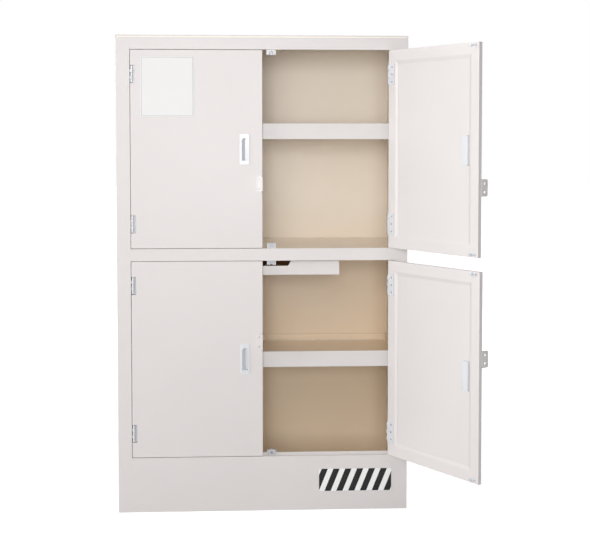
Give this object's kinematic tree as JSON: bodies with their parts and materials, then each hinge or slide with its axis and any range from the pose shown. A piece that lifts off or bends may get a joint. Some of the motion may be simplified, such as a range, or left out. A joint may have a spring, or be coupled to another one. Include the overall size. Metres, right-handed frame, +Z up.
{
  "type": "reagent storage cabinet",
  "caption": "Tall plastic reagent cabinet with hinged double doors over two compartments, shelf trays, a shallow hanging drawer and padlock brackets.",
  "frame": {"origin": "centre of the carcase's footprint, on the floor", "axes": "+X to the right seen from the front, +Y towards the back, +Z up; the front looks along -Y"},
  "size_m": [1.3265, 1.0167, 1.8],
  "materials": {
    "carcase_sheet": "satin",
    "front_sheet": "satin",
    "moulded_white": "semi-gloss"
  },
  "bodies": {
    "cabinet": {"left_side_panel": "carcase_sheet", "right_side_panel": "carcase_sheet", "back_panel": "carcase_sheet", "top_panel": "carcase_sheet", "bottom_panel": "carcase_sheet", "left_stile": "front_sheet", "right_stile": "front_sheet", "top_rail": "front_sheet", "middle_rail": "front_sheet", "plinth_panel": "front_sheet", "middle_deck": "carcase_sheet", "sill_strip": "carcase_sheet", "shelf_ledges": "carcase_sheet", "left_drawer_runner": "carcase_sheet", "right_drawer_runner": "carcase_sheet", "hinge_frame_leaves": "moulded_white", "hinge_pins": "moulded_white", "rail_catches": "moulded_white", "deck_catches": "moulded_white", "sill_catches": "moulded_white"},
    "upper_left_door": {"upper_left_door_panel": "front_sheet", "upper_left_door_top_border": "front_sheet", "upper_left_door_bottom_border": "front_sheet", "upper_left_door_hinge_border": "front_sheet", "upper_left_door_free_border": "front_sheet", "upper_left_door_pull": "moulded_white", "upper_left_door_hinge_leaves": "moulded_white", "upper_left_door_strikers": "moulded_white", "upper_left_door_hasp_bracket": "front_sheet"},
    "upper_right_door": {"upper_right_door_panel": "front_sheet", "upper_right_door_top_border": "front_sheet", "upper_right_door_bottom_border": "front_sheet", "upper_right_door_hinge_border": "front_sheet", "upper_right_door_free_border": "front_sheet", "upper_right_door_pull": "moulded_white", "upper_right_door_hinge_leaves": "moulded_white", "upper_right_door_strikers": "moulded_white", "upper_right_door_hasp_bracket": "front_sheet"},
    "lower_left_door": {"lower_left_door_panel": "front_sheet", "lower_left_door_top_border": "front_sheet", "lower_left_door_bottom_border": "front_sheet", "lower_left_door_hinge_border": "front_sheet", "lower_left_door_free_border": "front_sheet", "lower_left_door_pull": "moulded_white", "lower_left_door_hinge_leaves": "moulded_white", "lower_left_door_strikers": "moulded_white", "lower_left_door_hasp_bracket": "front_sheet"},
    "lower_right_door": {"lower_right_door_panel": "front_sheet", "lower_right_door_top_border": "front_sheet", "lower_right_door_bottom_border": "front_sheet", "lower_right_door_hinge_border": "front_sheet", "lower_right_door_free_border": "front_sheet", "lower_right_door_pull": "moulded_white", "lower_right_door_hinge_leaves": "moulded_white", "lower_right_door_strikers": "moulded_white", "lower_right_door_hasp_bracket": "front_sheet"},
    "drawer": {"drawer_front": "front_sheet", "drawer_box": "carcase_sheet"},
    "upper_shelf": {"upper_shelf_tray": "carcase_sheet"},
    "lower_shelf": {"lower_shelf_tray": "carcase_sheet"}
  },
  "joints": [
    {"name": "upper_left_door_hinge", "type": "hinge", "parent": "cabinet", "child": "upper_left_door", "pos_m": [-0.488, -0.2975, 1.37375], "axis": [0, 0, -1], "range_deg": [0, 128]},
    {"name": "upper_right_door_hinge", "type": "hinge", "parent": "cabinet", "child": "upper_right_door", "pos_m": [0.488, -0.2975, 1.37375], "axis": [0, 0, 1], "range_deg": [-122, 6]},
    {"name": "lower_left_door_hinge", "type": "hinge", "parent": "cabinet", "child": "lower_left_door", "pos_m": [-0.488, -0.2975, 0.58125], "axis": [0, 0, -1], "range_deg": [0, 128]},
    {"name": "lower_right_door_hinge", "type": "hinge", "parent": "cabinet", "child": "lower_right_door", "pos_m": [0.488, -0.2975, 0.58125], "axis": [0, 0, 1], "range_deg": [-123, 5]},
    {"name": "drawer_slide", "type": "slide", "parent": "cabinet", "child": "drawer", "axis": [0, -1, 0], "range_m": [0, 0.3]},
    {"name": "upper_shelf_lift", "type": "slide", "parent": "cabinet", "child": "upper_shelf", "axis": [0, 0, 1], "range_m": [0, 0.25]},
    {"name": "lower_shelf_lift", "type": "slide", "parent": "cabinet", "child": "lower_shelf", "axis": [0, 0, 1], "range_m": [0, 0.285]}
  ],
  "couplings": [
    {"joint": "drawer_slide", "follows": "lower_left_door_hinge", "m_per_rad": 0.1342}
  ]
}
